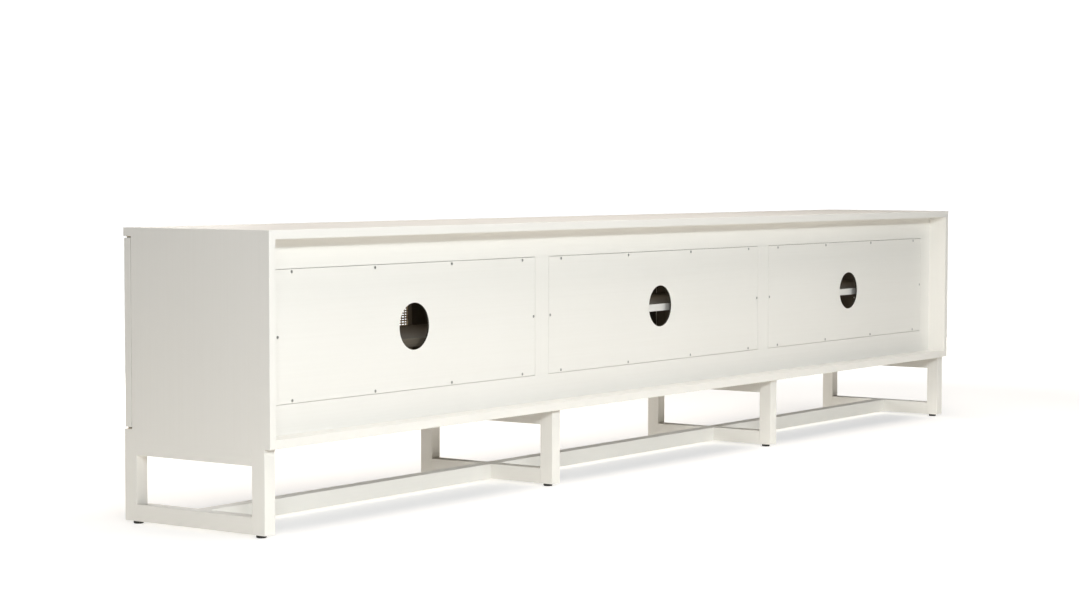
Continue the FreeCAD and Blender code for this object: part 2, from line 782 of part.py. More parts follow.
def make_door_metalwork(number):
    """A door's two pivot pins, with collars in the gaps, and the plate that its catch holds."""
    x = door_edge_number(number, "pivot", cell("pivot_in"))
    y = front_number() + cell("pivot_back")
    radius, inner, outer = cell("pivot_radius"), cell("pivot_in_door"), cell("pivot_in_board")
    gap, flange = cell("door_head"), cell("flange_thick")
    collar_high = gap - flange - cell("pivot_play")
    low, high = deck_number() + gap, ceiling_number() - gap
    shapes = []
    for edge, way in ((low, -1), (high, 1)):
        rod = cylinder(x, y, edge - way * inner, radius, inner + gap + outer, way * Z_AXIS)
        collar = cylinder(x, y, edge, cell("collar_radius"), collar_high, way * Z_AXIS)
        shapes.append(rod.fuse(collar).removeSplitter())
    wide, tall = cell("plate_wide"), cell("plate_high")
    middle = door_edge_number(number, "free", cell("plate_edge") + wide / 2)
    corner = FreeCAD.Vector(middle - wide / 2, front_number() + cell("door_thick"), high - tall)
    shapes.append(Part.makeBox(wide, cell("plate_thick"), tall, corner))
    return keep(solids(f"door_{number + 1}_metalwork", shapes), f"door_{number + 1}_metalwork")


def make_knob(number):
    """A turned knob on the meeting stile, with the stud that holds it in the wood."""
    name = f"door_{number + 1}_knob"
    reach, radius, neck = cell("knob_reach"), cell("knob_radius"), cell("knob_neck")
    foot, foot_high = cell("knob_foot"), cell("knob_foot_high")
    stud, stud_long = cell("knob_stud"), cell("knob_stud_long")
    rim, cap, shoulder = cell("knob_rim"), cell("knob_cap"), cell("knob_shoulder")

    def at(r, out):
        return FreeCAD.Vector(r, -out, 0)

    def on_cap(r):
        """A point of the domed face, which is part of a ball centred on the axis."""
        return at(r, reach - cap + math.sqrt(cap ** 2 - r ** 2))

    lines = [
        (at(0, -stud_long), at(stud, -stud_long)), (at(stud, -stud_long), at(stud, 0)),
        (at(stud, 0), at(foot, 0)),
    ]
    edges = [Part.LineSegment(a, b).toShape() for a, b in lines]
    swell = at(cell("knob_foot_swell"), cell("knob_foot_swell_high"))
    waist = at(cell("knob_waist"), cell("knob_waist_high"))
    edge = at(cell("knob_edge"), cell("knob_edge_high"))
    edges += [
        Part.Arc(at(foot, 0), swell, at(neck, foot_high)).toShape(),
        Part.Arc(at(neck, foot_high), waist, at(radius, rim)).toShape(),
        Part.Arc(at(radius, rim), edge, on_cap(shoulder)).toShape(),
        Part.Arc(on_cap(shoulder), on_cap(shoulder / 2), on_cap(0)).toShape(),
        Part.LineSegment(on_cap(0), at(0, -stud_long)).toShape(),
    ]
    turned = Part.Face(Part.Wire(edges)).revolve(FreeCAD.Vector(), Y_AXIS, 360)
    knob = DOC.addObject("Part::Feature", name)
    knob.Shape = turned
    x = door_edge_number(number, "free", cell("stile") / 2)
    height = (deck_number() + ceiling_number()) / 2
    knob.Placement = FreeCAD.Placement(FreeCAD.Vector(x, front_number(), height), FreeCAD.Rotation())
    return keep(knob, name)


def make_grille(number):
    """The woven panel's plain core, let into the grooves of the frame on all four sides."""
    name = f"door_{number + 1}_grille"
    low, high = door_span(number)
    inset = "(Sheet.stile - Sheet.groove_deep + Sheet.grille_play)"
    y = f"({FRONT} + Sheet.groove_lip)"
    return keep(box(
        name,
        (f"{low} + {inset}", f"{high} - {inset}"),
        (y, f"{y} + Sheet.groove_wide"),
        (f"{DOOR_LOW} + {inset}", f"{DOOR_HIGH} - {inset}"),
    ), name)


def make_door_frame(number, tools):
    """Two stiles and two rails, grooved inside; stub tongues on the rails fill the grooves."""
    name = f"door_{number + 1}_frame"
    low, high = door_span(number)
    depth = (FRONT, DOOR_BACK)
    groove_y = (f"{FRONT} + Sheet.groove_lip", f"{FRONT} + Sheet.groove_lip + Sheet.groove_wide")
    inner_low, inner_high = f"({low} + Sheet.stile)", f"({high} - Sheet.stile)"
    pieces = []
    for place, x in (("low", (low, inner_low)), ("high", (inner_high, high))):
        bar = box(f"{name}_stile_{place}", x, depth, (DOOR_LOW, DOOR_HIGH))
        pieces.append(eased(f"{name}_stile_{place}_eased", bar, Z_AXIS))
    rails = {
        "low": (DOOR_LOW, f"{DOOR_LOW} + Sheet.stile"),
        "high": (f"{DOOR_HIGH} - Sheet.stile", DOOR_HIGH),
    }
    for place, z in rails.items():
        bar = box(f"{name}_rail_{place}", (inner_low, inner_high), depth, z)
        pieces.append(eased(f"{name}_rail_{place}_eased", bar, X_AXIS))
    deep, stop = "Sheet.groove_deep", "Sheet.groove_stop"
    groove = box(
        name + "_groove",
        (f"{inner_low} - {deep}", f"{inner_high} + {deep}"), groove_y,
        (f"{DOOR_LOW} + {stop}", f"{DOOR_HIGH} - {stop}"),
    )
    stile_tools = compound(name + "_stile_tools", [groove] + tools)
    stiles = [cut(piece.Name + "_cut", piece, stile_tools) for piece in pieces[:2]]
    finished_rails = []
    for piece, (place, z) in zip(pieces[2:], rails.items()):
        inner_z = (f"{z[0]} + {stop}", z[1]) if place == "low" else (z[0], f"{z[1]} - {stop}")
        tongue = box(
            f"{name}_tongue_{place}", (f"{inner_low} - {deep}", f"{inner_high} + {deep}"),
            groove_y, inner_z,
        )
        whole = fuse(piece.Name + "_rail", [piece, tongue])
        finished_rails.append(cut(piece.Name + "_cut", whole, grille_slot(name, place, number)))
    return keep(compound(name + "_pieces", stiles + finished_rails), name)


def grille_slot(name, place, number):
    """The room that a door's grille takes out of its rails, over the grooves' whole width."""
    low, high = door_span(number)
    inset = "(Sheet.stile - Sheet.groove_deep)"
    return box(
        f"{name}_slot_{place}",
        (f"{low} + {inset}", f"{high} - {inset}"),
        (f"{FRONT} + Sheet.groove_lip", f"{FRONT} + Sheet.groove_lip + Sheet.groove_wide"),
        (f"{DOOR_LOW} + {inset}", f"{DOOR_HIGH} - {inset}"),
    )


def make_door(number):
    metalwork = make_door_metalwork(number)
    knob = make_knob(number)
    make_grille(number)
    make_door_frame(number, [metalwork, knob])


# ---------------------------------------------------------------- whole object

def build():
    fill_sheet()
    screws = make_panel_screws()
    make_shelf_pins()
    glides = make_foot_glides()
    bolts = make_leg_bolts()
    make_pivot_bushings()
    make_magnetic_catches()
    make_top_panel()
    make_bottom_panel(bolts)
    make_end_panel("left_end_panel", -1)
    make_end_panel("right_end_panel", 1)
    make_partition("left_partition", -1)
    make_partition("right_partition", 1)
    shelves = (("left_shelf", 0), ("middle_shelf", 0), ("right_shelf", 1))
    for (label, drop), span in zip(shelves, bay_spans()):
        make_shelf(label, span, drop)
    make_back_rail("back_top_rail", True, screws)
    make_back_rail("back_bottom_rail", False, screws)
    make_back_stiles(screws)
    for number, span in enumerate(panel_spans(), start=1):
        make_access_panel(f"access_panel_{number}", span, screws)
    make_base(glides, bolts)
    for number in range(DOORS):
        make_door(number)
    DOC.recompute()


def check():
    """Stops if any object failed to compute or any sub-part is empty or broken."""
    failed = [item.Name for item in DOC.Objects if {"Invalid", "Error"} & set(item.State)]
    if failed:
        raise RuntimeError(f"objects that failed: {failed}")
    for piece in SUB_PARTS:
        if piece.Shape.isNull() or not piece.Shape.isValid() or not piece.Shape.Solids:
            raise RuntimeError(f"{piece.Label} has no valid solid")


def write():
    os.makedirs("parts", exist_ok=True)
    for piece in SUB_PARTS:
        piece.Shape.exportStep(f"parts/{piece.Label}.step")
        extent = piece.Shape.BoundBox
        print(
            f"{piece.Label}: {len(piece.Shape.Solids)} solids, {piece.Shape.Volume / 1000:.1f} cm3, "
            f"x {extent.XMin:.1f}..{extent.XMax:.1f}, y {extent.YMin:.1f}..{extent.YMax:.1f}, "
            f"z {extent.ZMin:.1f}..{extent.ZMax:.1f}"
        )


build()
check()
write()
print(len(SUB_PARTS), "sub-parts")
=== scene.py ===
import json
import math

import bpy
import numpy as np
from mathutils import Matrix, Vector


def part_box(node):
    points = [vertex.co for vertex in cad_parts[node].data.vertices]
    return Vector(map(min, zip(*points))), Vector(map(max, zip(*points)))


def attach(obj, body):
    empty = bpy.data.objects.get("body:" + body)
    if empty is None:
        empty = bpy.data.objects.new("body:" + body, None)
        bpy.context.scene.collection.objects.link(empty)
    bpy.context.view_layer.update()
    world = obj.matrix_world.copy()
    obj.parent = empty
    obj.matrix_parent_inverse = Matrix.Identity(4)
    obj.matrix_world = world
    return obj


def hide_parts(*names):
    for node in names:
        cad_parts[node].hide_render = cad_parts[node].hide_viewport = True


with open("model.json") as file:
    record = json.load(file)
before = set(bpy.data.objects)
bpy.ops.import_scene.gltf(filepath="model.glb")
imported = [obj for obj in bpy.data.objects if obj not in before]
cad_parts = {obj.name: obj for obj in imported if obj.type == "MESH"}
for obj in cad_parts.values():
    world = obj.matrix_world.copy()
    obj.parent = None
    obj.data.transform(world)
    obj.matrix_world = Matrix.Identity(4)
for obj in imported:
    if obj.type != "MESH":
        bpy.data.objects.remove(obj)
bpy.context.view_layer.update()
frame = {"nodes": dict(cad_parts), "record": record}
nodes = frame["nodes"]

DOORS = range(1, 7)
LEG_FRAMES = range(1, 5)
BACK_STILES = range(1, 5)
BAYS = range(1, 4)

# The case and the doors, as the frame gives them, in metres.
DECK_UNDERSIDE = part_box("bottom_panel")[0].z
DECK_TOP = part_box("bottom_panel")[1].z
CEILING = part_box("top_panel")[0].z
HALF_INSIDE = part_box("right_end_panel")[0].x
CASE_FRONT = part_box("left_partition")[0].y
BACK_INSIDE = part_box("back_top_rail")[0].y
PANEL_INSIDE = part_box("access_panel_2")[0].y
CABLE_HOLES = [
    (mount["pos_m"], mount["dims"]["r_mm"] / 1000)
    for mount in frame["record"]["mounts"]
    if mount["name"].startswith("cable_hole")
]
DOOR_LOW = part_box("door_1_frame")[0].z
DOOR_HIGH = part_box("door_1_frame")[1].z
DOOR_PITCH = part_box("door_2_frame")[0].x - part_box("door_1_frame")[0].x
BAY_PITCH = 2 * DOOR_PITCH
GRILLE_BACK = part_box("door_1_grille")[1].y

# A mask reaches this far past the face that it covers.
SKIN = 0.0004
# A door's outer edges stay white for this far in, beside half of the gap between two doors.
RIM = 0.0014
HALF_DOOR_GAP = 0.002
# From a door's middle to the end of its stain, as a share of the doors' pitch.
STAINED_SHARE = 0.5 - (HALF_DOOR_GAP + RIM) / DOOR_PITCH

# ---------------------------------------------------------------- shader maths


class Wire:
    """One socket of a node tree. An expression on wires adds its maths nodes."""

    def __init__(self, owner, socket):
        self.owner = owner
        self.socket = socket

    def maths(self, operation, *others):
        return self.owner.node("Math", {"operation": operation}, [self, *others])

    def __add__(self, other):
        return self.maths("ADD", other)

    def __sub__(self, other):
        return self.maths("SUBTRACT", other)

    def __rsub__(self, other):
        return self.owner.node("Math", {"operation": "SUBTRACT"}, [other, self])

    def __mul__(self, other):
        return self.maths("MULTIPLY", other)

    def __truediv__(self, other):
        return self.maths("DIVIDE", other)

    def __gt__(self, other):
        return self.maths("GREATER_THAN", other)

    def __lt__(self, other):
        return self.maths("LESS_THAN", other)

    def __abs__(self):
        return self.maths("ABSOLUTE")

    __radd__ = __add__
    __rmul__ = __mul__


class Nodes:
    """A tree of shader nodes, with the one method that adds a node."""

    # A Mix node has sockets for several kinds of value, and these are the colours'.
    MIX_FACTOR, MIX_FIRST, MIX_SECOND, MIX_COLOUR = 0, 6, 7, 2

    def __init__(self, tree):
        self.tree = tree

    def node(self, kind, settings, values, output=0):
        made = self.tree.nodes.new("ShaderNode" + kind)
        for name, setting in settings.items():
            if name == "stops":
                self.set_stops(made.color_ramp, setting)
            else:
                setattr(made, name, setting)
        named = values.items() if isinstance(values, dict) else enumerate(values)
        for place, value in named:
            self.join(made.inputs[place], value)
        return Wire(self, made.outputs[output])

    def set_stops(self, ramp, stops):
        for number, (place, colour) in enumerate(stops):
            if number < len(ramp.elements):
                ramp.elements[number].position = place
            else:
                ramp.elements.new(place)
            ramp.elements[number].color = (*colour, 1)

    def join(self, socket, value):
        if isinstance(value, Wire):
            self.tree.links.new(value.socket, socket)
        elif isinstance(value, tuple) and socket.type == "RGBA":
            socket.default_value = (*value, 1)
        else:
            socket.default_value = value

    def axes(self, wire):
        split = self.node("SeparateXYZ", {}, [wire])
        return [Wire(self, socket) for socket in split.socket.node.outputs]

    def place(self):
        return self.node("TexCoord", {}, {}, "Object")

    def facing(self):
        return self.axes(self.node("TexCoord", {}, {}, "Normal"))

    def noise(self, place, scale, detail=2.0, rough=0.5):
        """Noise with one scale, or with one for each axis, in spots to a metre."""
        if isinstance(scale, tuple):
            place = self.node("VectorMath", {"operation": "MULTIPLY"}, [place, scale])
            scale = 1.0
        values = {"Vector": place, "Scale": scale, "Detail": detail, "Roughness": rough}
        return self.node("TexNoise", {}, values, "Fac")

    def spread(self, wire, low, high, **settings):
        """The wire from low to high, as a share from 0 to 1."""
        values = {"Value": wire, "From Min": low, "From Max": high}
        return self.node("MapRange", settings, values)

    def smooth_spread(self, wire, low, high):
        return self.spread(wire, low, high, interpolation_type="SMOOTHSTEP")

    def ramp(self, factor, *stops):
        return self.node("ValToRGB", {"stops": stops}, [factor], "Color")

    def blend(self, factor, first, second):
        values = {self.MIX_FACTOR: factor, self.MIX_FIRST: first, self.MIX_SECOND: second}
        return self.node("Mix", {"data_type": "RGBA"}, values, self.MIX_COLOUR)

    def bump(self, height, distance, strength):
        values = {"Strength": strength, "Distance": distance, "Height": height}
        return self.node("Bump", {}, values, "Normal")


class Finish(Nodes):
    """A material and its Principled shader."""

    def __init__(self, name):
        self.material = bpy.data.materials.new(name)
        self.material.use_nodes = True
        super().__init__(self.material.node_tree)

    def shine(self, **sockets):
        """Sets or links the shader's sockets; an underscore stands for a space."""
        shader = self.tree.nodes["Principled BSDF"]
        for name, value in sockets.items():
            self.join(shader.inputs[name.replace("_", " ")], value)


def dress(names, material):
    for name in names:
        mesh = nodes[name].data
        mesh.materials.clear()
        mesh.materials.append(material)


# ---------------------------------------------------------------- lacquer and stain

WHITE = (0.85, 0.837, 0.80)
WORN_WHITE = (0.8335, 0.819, 0.7791)
STAIN = ((0.092, 0.078, 0.058), (0.135, 0.112, 0.082))
# Dark tones for the access panels' inner faces and hole walls, and for the painted shadow along
# their top edges.
DARK_BACK_HOLES_AND_PAINTED_SHADOW = ((0.03, 0.027, 0.022), (0.044, 0.04, 0.032))
LACQUER_ROUGH = 0.42
LACQUER_SPECULAR = 0.42
LACQUER_RELIEF = 0.00012
STAIN_ROUGHER = 0.12

# Spots of noise to a metre, across the grain and along it.
STREAKS = (230, 2.2)
PORES = (900, 14)
# Spots of noise to a metre, the same all ways.
CLOUDS = 3.1
SPRAY = 780


def grain_scale(along, across_grain, along_grain):
    return tuple(along_grain if axis == along else across_grain for axis in "xyz")


def lacquer(name, along, stained=None, stain=STAIN):
    """Off-white sprayed lacquer over an open grain that runs along one axis.

    stained gives the mask of the faces that are dark stain instead.
    """
    finish = Finish(name)
    place = finish.place()
    streaks = finish.noise(place, grain_scale(along, *STREAKS), 3, 0.6)
    pores = finish.noise(place, grain_scale(along, *PORES), 2, 0.55)
    clouds = finish.noise(place, CLOUDS)
    spray = finish.noise(place, SPRAY, 1)
    tone = finish.spread(streaks * 0.65 + clouds * 0.35, 0.34, 0.66)
    colour = finish.blend(tone, WORN_WHITE, WHITE)
    rough = LACQUER_ROUGH + streaks * 0.1 + spray * 0.06
    if stained:
        mask = stained(finish)
        stain_tone = finish.spread(pores * 0.5 + streaks * 0.5, 0.36, 0.64)
        colour = finish.blend(mask, colour, finish.blend(stain_tone, *stain))
        rough = rough + mask * STAIN_ROUGHER
    height = streaks * 0.4 + pores * 0.35 + spray * 0.25
    finish.shine(
        Base_Color=colour,
        Roughness=rough,
        Normal=finish.bump(height, LACQUER_RELIEF, 0.5),
        Specular_IOR_Level=LACQUER_SPECULAR,
    )
    return finish.material


# How squarely a face turns one way to count: quite, mostly, or at least halfway.
QUITE, MOSTLY, HALFWAY = 0.9, 0.7, 0.5


def all_faces(finish):
    return 1.0


def inside_case(finish):
    """The faces inside the case, but for its front edges."""
    x, y, z = finish.axes(finish.place())
    sides = abs(x) < HALF_INSIDE + SKIN
    deep = (y > CASE_FRONT + SKIN) * (y < BACK_INSIDE + SKIN)
    high = (z > DECK_TOP - SKIN) * (z < CEILING + SKIN)
    return sides * deep * high


def inside_or_under_case(finish):
    """The case's inside, and the deck's underside, which never shows its face."""
    _, _, turn_z = finish.facing()
    _, _, z = finish.axes(finish.place())
    under = (turn_z < -QUITE) * (z < DECK_UNDERSIDE + SKIN)
    return inside_case(finish).maths("MAXIMUM", under)


def top_and_bottom(finish):
    _, _, turn_z = finish.facing()
    return abs(turn_z) > MOSTLY


def all_but_front(finish):
    _, turn_y, _ = finish.facing()
    return turn_y > -HALFWAY


def back_hole_walls_and_painted_shadow_edge(finish):
    """A panel's hole and inner face, dark, and its upper edge, darkened as a painted shadow line
    under the rail above.
    """
    x, y, z = finish.axes(finish.place())
    _, turn_y, turn_z = finish.facing()
    # Faces turned up: the panel's top edge, darkened as a painted shadow in the gap under the
    # rail.
    mask = (y < PANEL_INSIDE + SKIN).maths("MAXIMUM", turn_z > QUITE)
    for centre, radius in CABLE_HOLES:
        across = x - centre[0]
        up = z - centre[2]
        reach = radius + SKIN
        mask = mask + (across * across + up * up < reach * reach)
    return (mask > 0.5) * (turn_y < HALFWAY)


def door_inside(finish):
    """A door's back and the edges of its opening behind the weave, but not its outer edges."""
    x, y, z = finish.axes(finish.place())
    behind_weave = y > GRILLE_BACK + SKIN
    beside_gap = abs((x / DOOR_PITCH).maths("FRACT") - 0.5) < STAINED_SHARE
    inner = (z > DOOR_LOW + RIM) * (z < DOOR_HIGH - RIM) * (abs(x) < HALF_INSIDE)
    return behind_weave * beside_gap * inner


dress(["top_panel"], lacquer("top_lacquer", "x", inside_case))
dress(["bottom_panel"], lacquer("deck_lacquer", "x", inside_or_under_case))
dress(["left_end_panel", "right_end_panel"], lacquer("end_panel_lacquer", "z", inside_case))
dress(["left_partition", "right_partition"], lacquer("partition_stain", "z", all_faces))
dress(["left_shelf", "middle_shelf"], lacquer("shelf_stain", "x", top_and_bottom))
dress(["right_shelf"], lacquer("low_shelf_stain", "x", all_but_front))
dress(["back_top_rail", "back_bottom_rail"], lacquer("back_rail_lacquer", "x", inside_case))
dress([f"back_stile_{n}" for n in BACK_STILES], lacquer("back_stile_lacquer", "z", inside_case))
# Access panels: dark inside and in the holes, with a painted shadow line along the top edge.
dress(
    [f"access_panel_{n}" for n in BAYS],
    lacquer("access_panel_lacquer", "x", back_hole_walls_and_painted_shadow_edge, DARK_BACK_HOLES_AND_PAINTED_SHADOW),
)
dress([f"stretcher_{n}" for n in BAYS], lacquer("stretcher_lacquer", "x"))
dress([f"leg_rails_{n}" for n in LEG_FRAMES], lacquer("leg_rail_lacquer", "y"))
dress([f"leg_posts_{n}" for n in LEG_FRAMES], lacquer("leg_post_lacquer", "z"))
dress([f"door_{n}_frame" for n in DOORS], lacquer("door_frame_lacquer", "z", door_inside))

# ---------------------------------------------------------------- metal and plastic

NICKEL = (0.66, 0.63, 0.58)
ZINC = (0.56, 0.56, 0.55)
STEEL = (0.55, 0.54, 0.52)
BRASS = (0.72, 0.53, 0.26)
CATCH_BLACK = (0.045, 0.04, 0.036)
GLIDE_BLACK = (0.012, 0.012, 0.012)

# Spots to a metre on each axis: lines along a knob, lines up a pin, or the same all ways.
ALONG_KNOB = (900, 60, 900)
UP_PIN = (1400, 1400, 300)
EVEN = (1400, 1400, 1400)
METAL_SHADE = 0.72
METAL_RELIEF = 0.00004
PLASTIC_PALER = 1.7
PLASTIC_RELIEF = 0.00006


def metal(name, colour, rough, marks, strength=0.3):
    """Metal with fine marks, and smudges."""
    finish = Finish(name)
    place = finish.place()
    lines = finish.noise(place, marks, 2, 0.6)
    smudge = finish.noise(place, 90)
    dark = tuple(part * METAL_SHADE for part in colour)
    tone = finish.spread(lines * 0.6 + smudge * 0.4, 0.35, 0.65)
    finish.shine(
        Base_Color=finish.blend(tone, dark, colour),
        Metallic=1.0,
        Roughness=rough + smudge * 0.16 + lines * 0.06,
        Normal=finish.bump(lines, METAL_RELIEF, strength),
    )
    return finish.material


def plastic(name, colour, rough):
    """Black moulded plastic with a fine grain."""
    finish = Finish(name)
    place = finish.place()
    grain = finish.noise(place, 2400, 2, 0.6)
    clouds = finish.noise(place, 160)
    pale = tuple(part * PLASTIC_PALER for part in colour)
    finish.shine(
        Base_Color=finish.blend(clouds, colour, pale),
        Roughness=rough + grain * 0.18,
        Normal=finish.bump(grain, PLASTIC_RELIEF, 0.5),
    )
    return finish.material


dress([f"door_{n}_knob" for n in DOORS], metal("satin_nickel", NICKEL, 0.2, ALONG_KNOB))
dress(["panel_screws", "leg_bolts"], metal("zinc_steel", ZINC, 0.3, EVEN))
dress(["shelf_pins"], metal("pin_steel", STEEL, 0.2, EVEN, 0.2))
dress([f"door_{n}_metalwork" for n in DOORS], metal("hinge_steel", STEEL, 0.22, UP_PIN))
dress(["pivot_bushings"], metal("bushing_brass", BRASS, 0.24, EVEN))
dress(["magnetic_catches"], plastic("catch_plastic", CATCH_BLACK, 0.42))
dress(["foot_glides"], plastic("glide_plastic", GLIDE_BLACK, 0.4))

# ---------------------------------------------------------------- woven reed

ROW_PITCH = 0.0059
STAKE_PITCH = 0.0115
STAKE_RADIUS = 0.0012
REED_HALF_HEIGHT = 0.0020
REED_HALF_DEPTH = 0.00105
# How far a weaver swings over a stake, there and at the door's groove, which holds it flat.
SWING = 0.00125
HELD_SWING = 0.0006
HELD_SHARE = 0.45
HELD_REACH = 0.012
# How far a weaver wanders up and down, and how its girth varies.
DRIFT = 0.00012
THIN_REED, THICK_REED = 0.9, 1.08
GIRTH_WAVER = 0.03
# A reed's sides, and the steps of a weaver from one stake to the next.
SIDES = 6
STEPS = 4
FIRST_SEED = 40


def tube_mesh(lines, sections):
    """One mesh of closed tubes. lines is (tube, point, 3); sections is (tube, point, side, 3)."""
    tubes, points, sides, _ = sections.shape
    ring = np.arange(sides)
    starts = np.arange(tubes)[:, None] * points * sides + np.arange(points - 1)[None, :] * sides
    low = starts.reshape(-1, 1) + ring
    low_next = starts.reshape(-1, 1) + (ring + 1) % sides
    quads = np.stack([low, low_next, low_next + sides, low + sides], axis=-1).reshape(-1, 4)
    vertices = (lines[:, :, None, :] + sections).reshape(-1, 3)
    first = np.arange(tubes)[:, None] * points * sides
    caps = [first + ring[::-1], first + (points - 1) * sides + ring]
    return vertices, quads, np.concatenate(caps)


def reed_rows(low, high, random):
    """The weavers, side by side up the door, over and under the stakes by turns."""
    rows = int((high.z - low.z) / ROW_PITCH)
    stakes = int((high.x - low.x) / STAKE_PITCH)
    middle = (low + high) / 2
    heights = middle.z + (np.arange(rows) - (rows - 1) / 2) * ROW_PITCH
    count = stakes * STEPS + 1
    along = np.linspace(low.x, high.x, count)
    phase = np.pi * (along - middle.x) / STAKE_PITCH
    lines = np.zeros((rows, count, 3))
    lines[:, :, 0] = along
    edge = np.minimum(along - low.x, high.x - along)
    swing = HELD_SWING + (SWING - HELD_SWING) * np.clip(edge / HELD_REACH, 0, 1)
    way = np.where(np.arange(rows) % 2, 1.0, -1.0)[:, None]
    rise = np.minimum(heights - low.z, high.z - heights)
    held = np.clip(rise / HELD_REACH, HELD_SHARE, 1)[:, None]
    lines[:, :, 1] = middle.y + way * np.cos(phase) * swing * held
    drift = random.normal(0, DRIFT, (rows, count))
    drift = (drift + np.roll(drift, 1, 1) + np.roll(drift, -1, 1)) / 3
    lines[:, :, 2] = heights[:, None] + drift
    turn = np.arange(SIDES) / SIDES * 2 * np.pi
    girth = random.uniform(THIN_REED, THICK_REED, (rows, 1, 1))
    girth = girth * (1 + random.normal(0, GIRTH_WAVER, (rows, count, 1)))
    sections = np.zeros((rows, count, SIDES, 3))
    sections[:, :, :, 1] = np.cos(turn) * REED_HALF_DEPTH * girth
    sections[:, :, :, 2] = np.sin(turn) * REED_HALF_HEIGHT * girth
    return tube_mesh(lines, sections)


def reed_stakes(low, high):
    """The upright stakes between the weavers."""
    stakes = int((high.x - low.x) / STAKE_PITCH)
    middle = (low + high) / 2
    across = middle.x + (np.arange(stakes) - (stakes - 1) / 2) * STAKE_PITCH
    lines = np.zeros((stakes, 2, 3))
    lines[:, :, 0] = across[:, None]
    lines[:, :, 1] = middle.y
    lines[:, 0, 2] = low.z
    lines[:, 1, 2] = high.z
    turn = np.arange(SIDES) / SIDES * 2 * np.pi
    sections = np.zeros((stakes, 2, SIDES, 3))
    sections[:, :, :, 0] = -np.cos(turn) * STAKE_RADIUS
    sections[:, :, :, 1] = np.sin(turn) * STAKE_RADIUS
    return tube_mesh(lines, sections)


def reed_finish():
    """Natural reed: each row its own tone, with fine fibres along it."""
    finish = Finish("woven_reed")
    place = finish.place()
    _, _, z = finish.axes(place)
    row = (z / ROW_PITCH).maths("FLOOR")
    row_tone = finish.node("TexWhiteNoise", {"noise_dimensions": "1D"}, {"W": row}, "Value")
    fibre = finish.noise(place, (26, 900, 1500), 3, 0.6)
    patch = finish.noise(place, (9, 9, 40))
    finish.shine(
        Base_Color=finish.ramp(
            row_tone * 0.35 + fibre * 0.4 + patch * 0.35,
            (0.2, (0.30, 0.205, 0.115)),
            (0.45, (0.46, 0.345, 0.215)),
            (0.7, (0.58, 0.46, 0.31)),
            (0.95, (0.67, 0.56, 0.41)),
        ),
        Roughness=0.5 + fibre * 0.25,
        Normal=finish.bump(fibre, 0.00015, 0.6),
    )
    return finish.material


def weave(number, material):
    """A door's woven panel, in the space of its plain sheet."""
    low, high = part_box(f"door_{number}_grille")
    random = np.random.default_rng(FIRST_SEED + number)
    parts = [reed_rows(low, high, random), reed_stakes(low, high)]
    vertices, faces, start = [], [], 0
    for points, quads, caps in parts:
        vertices.extend(points.tolist())
        faces.extend((quads + start).tolist())
        faces.extend((caps + start).tolist())
        start += len(points)
    mesh = bpy.data.meshes.new(f"door_{number}_weave")
    mesh.from_pydata(vertices, [], faces)
    mesh.polygons.foreach_set("use_smooth", [True] * len(mesh.polygons))
    mesh.materials.append(material)
    piece = bpy.data.objects.new(f"door_{number}_weave", mesh)
    bpy.context.scene.collection.objects.link(piece)
    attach(piece, f"door_{number}")
    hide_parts(f"door_{number}_grille")


reed = reed_finish()
for number in DOORS:
    weave(number, reed)

# ---------------------------------------------------------------- floor and room

FLOOR_REACH = 40
FLOOR_TONES = ((0.72, 0.70, 0.66), (0.74, 0.72, 0.68))
# The floor's own light by its distance from the case: what it throws up at the case, and
# the pale shadow and the white round it that the camera sees.
BOUNCE = (0.47, 0.45, 0.41)
BOUNCE_FULL, BOUNCE_END = 0.3, 1.5
SHADE = (0.47, 0.48, 0.50)
BRIGHT = (1.15, 1.15, 1.15)
SHADE_FULL, SHADE_END = 0.7, 2.4
# The room's white walls: the light that they give, and how bright the camera sees them.
ROOM_LIGHT = 0.03
ROOM_SEEN = 1.1


def floor_finish():
    finish = Finish("floor")
    place = finish.place()
    mottle = finish.noise(place, 1.3)
    x, y, _ = finish.axes(place)
    beside = (abs(x) - HALF_INSIDE).maths("MAXIMUM", 0.0)
    apart = (beside * beside + y * y).maths("SQRT")
    near = 1 - finish.smooth_spread(apart, BOUNCE_FULL, BOUNCE_END)
    away = finish.smooth_spread(apart, SHADE_FULL, SHADE_END)
    seen = finish.node("LightPath", {}, {}, "Is Camera Ray")
    bounce = finish.blend(near, (0.0, 0.0, 0.0), BOUNCE)
    finish.shine(
        Base_Color=finish.blend(mottle, *FLOOR_TONES),
        Roughness=0.9,
        Specular_IOR_Level=0.0,
        Emission_Color=finish.blend(seen, bounce, finish.blend(away, SHADE, BRIGHT)),
        Emission_Strength=1.0,
    )
    return finish.material


def make_floor():
    reach = FLOOR_REACH
    mesh = bpy.data.meshes.new("floor")
    mesh.from_pydata(
        [(-reach, -reach, 0), (reach, -reach, 0), (reach, reach, 0), (-reach, reach, 0)],
        [], [(0, 1, 2, 3)],
    )
    mesh.materials.append(floor_finish())
    floor = bpy.data.objects.new("floor", mesh)
    bpy.context.scene.collection.objects.link(floor)


def make_room():
    world = bpy.data.worlds.new("studio")
    world.use_nodes = True
    room = Nodes(world.node_tree)
    seen = room.node("LightPath", {}, {}, "Is Camera Ray")
    walls = [
        room.node("Background", {}, {"Color": (1.0, 1.0, 1.0), "Strength": strength})
        for strength in (ROOM_LIGHT, ROOM_SEEN)
    ]
    both = room.node("MixShader", {}, [seen, *walls])
    room.tree.nodes.remove(room.tree.nodes["Background"])
    room.join(room.tree.nodes["World Output"].inputs["Surface"], both)
    bpy.context.scene.world = world


# ---------------------------------------------------------------- lights and camera

# The faint lights in a bay, for what the white room would send in: their places from its
# middle, in metres.
BAY_LIGHT_SIDES = (-0.24, 0.2)
BAY_LIGHT_DEPTH = -0.06
BAY_LIGHT_HEIGHTS = (0.28, 0.5)
BAY_LIGHT_RADIUS = 0.03
BAY_LIGHT_POWER = 0.21
BAY_LIGHT_COLOUR = (1.0, 0.93, 0.82)

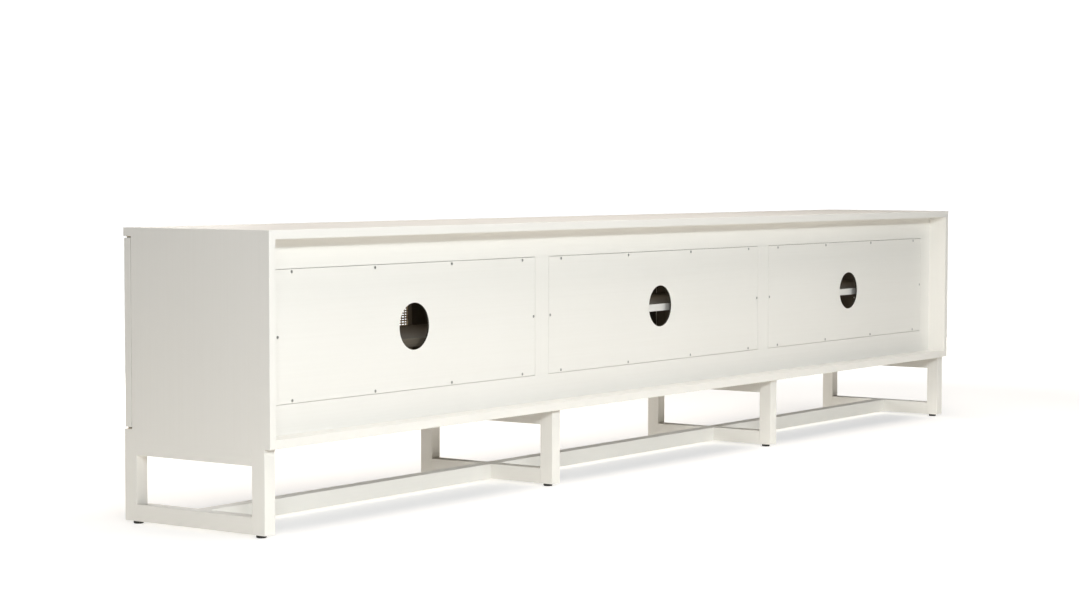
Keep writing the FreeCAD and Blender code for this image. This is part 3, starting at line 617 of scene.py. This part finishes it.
CAMERA_PLACE = (5.0279, 3.3826, 0.7274)
CAMERA_YAW = math.radians(-144.475)
CAMERA_DIP = math.radians(3.2224)
CAMERA_ROLL = math.radians(0.0877)
CAMERA_LENS = 80.53
SENSOR_WIDTH = 36.0
FARTHEST_SEEN = 200


def add_light(name, kind, place, power, colour):
    lamp = bpy.data.lights.new(name, kind)
    lamp.energy = power
    lamp.color = colour
    holder = bpy.data.objects.new(name, lamp)
    holder.location = place
    bpy.context.scene.collection.objects.link(holder)
    return lamp, holder


def soft_light(name, place, aim, size, power, colour):
    lamp, holder = add_light(name, "AREA", place, power, colour)
    lamp.shape = "RECTANGLE"
    lamp.size, lamp.size_y = size
    holder.rotation_euler = (Vector(aim) - Vector(place)).to_track_quat("-Z", "Y").to_euler()


def bay_lights(bay):
    for side in BAY_LIGHT_SIDES:
        for height in BAY_LIGHT_HEIGHTS:
            place = ((bay - 2) * BAY_PITCH + side, BAY_LIGHT_DEPTH, height)
            lamp, holder = add_light(
                "bay_light", "POINT", place, BAY_LIGHT_POWER, BAY_LIGHT_COLOUR
            )
            lamp.shadow_soft_size = BAY_LIGHT_RADIUS
            holder.visible_camera = False


def make_camera():
    ahead = Vector((
        math.cos(CAMERA_YAW) * math.cos(CAMERA_DIP),
        math.sin(CAMERA_YAW) * math.cos(CAMERA_DIP),
        -math.sin(CAMERA_DIP),
    ))
    level = ahead.cross(Vector((0, 0, 1))).normalized()
    above = level.cross(ahead)
    right = level * math.cos(CAMERA_ROLL) + above * math.sin(CAMERA_ROLL)
    up = above * math.cos(CAMERA_ROLL) - level * math.sin(CAMERA_ROLL)
    lens = bpy.data.cameras.new("camera")
    lens.sensor_width = SENSOR_WIDTH
    lens.lens = CAMERA_LENS
    lens.clip_end = FARTHEST_SEEN
    camera = bpy.data.objects.new("camera", lens)
    turned = Matrix((right, up, -ahead)).transposed().to_4x4()
    camera.matrix_world = Matrix.Translation(CAMERA_PLACE) @ turned
    bpy.context.scene.collection.objects.link(camera)
    bpy.context.scene.camera = camera


make_floor()
make_room()
make_camera()
soft_light(
    "key", place=(0.4, 4.7, 2.3), aim=(0.2, 0.2, 0.35),
    size=(1.8, 0.4), power=75, colour=(0.9, 0.97, 1.0),
)
soft_light(
    "overhead", place=(0.2, 0.4, 3.6), aim=(0.2, 0.2, 0.3),
    size=(3.5, 2.5), power=112, colour=(1.0, 0.925, 0.86),
)
soft_light(
    "end_fill", place=(4.4, 3.3, 1.9), aim=(0.8, 0.0, 0.35),
    size=(2.0, 0.5), power=118, colour=(0.96, 0.985, 1.0),
)
# Below the top board's plane, so that the gloss of the top doesn't mirror it.
soft_light(
    "far_fill", place=(-4.8, -0.4, 0.36), aim=(-1.2, 0.0, 0.36),
    size=(2.0, 0.4), power=40, colour=(1.0, 0.975, 0.94),
)
soft_light(
    "front_fill", place=(0.0, -2.8, 0.8), aim=(0.0, 0.0, 0.4),
    size=(3.4, 0.9), power=58, colour=(1.0, 0.965, 0.92),
)
for bay in BAYS:
    bay_lights(bay)
bpy.context.scene.view_settings.view_transform = "Standard"
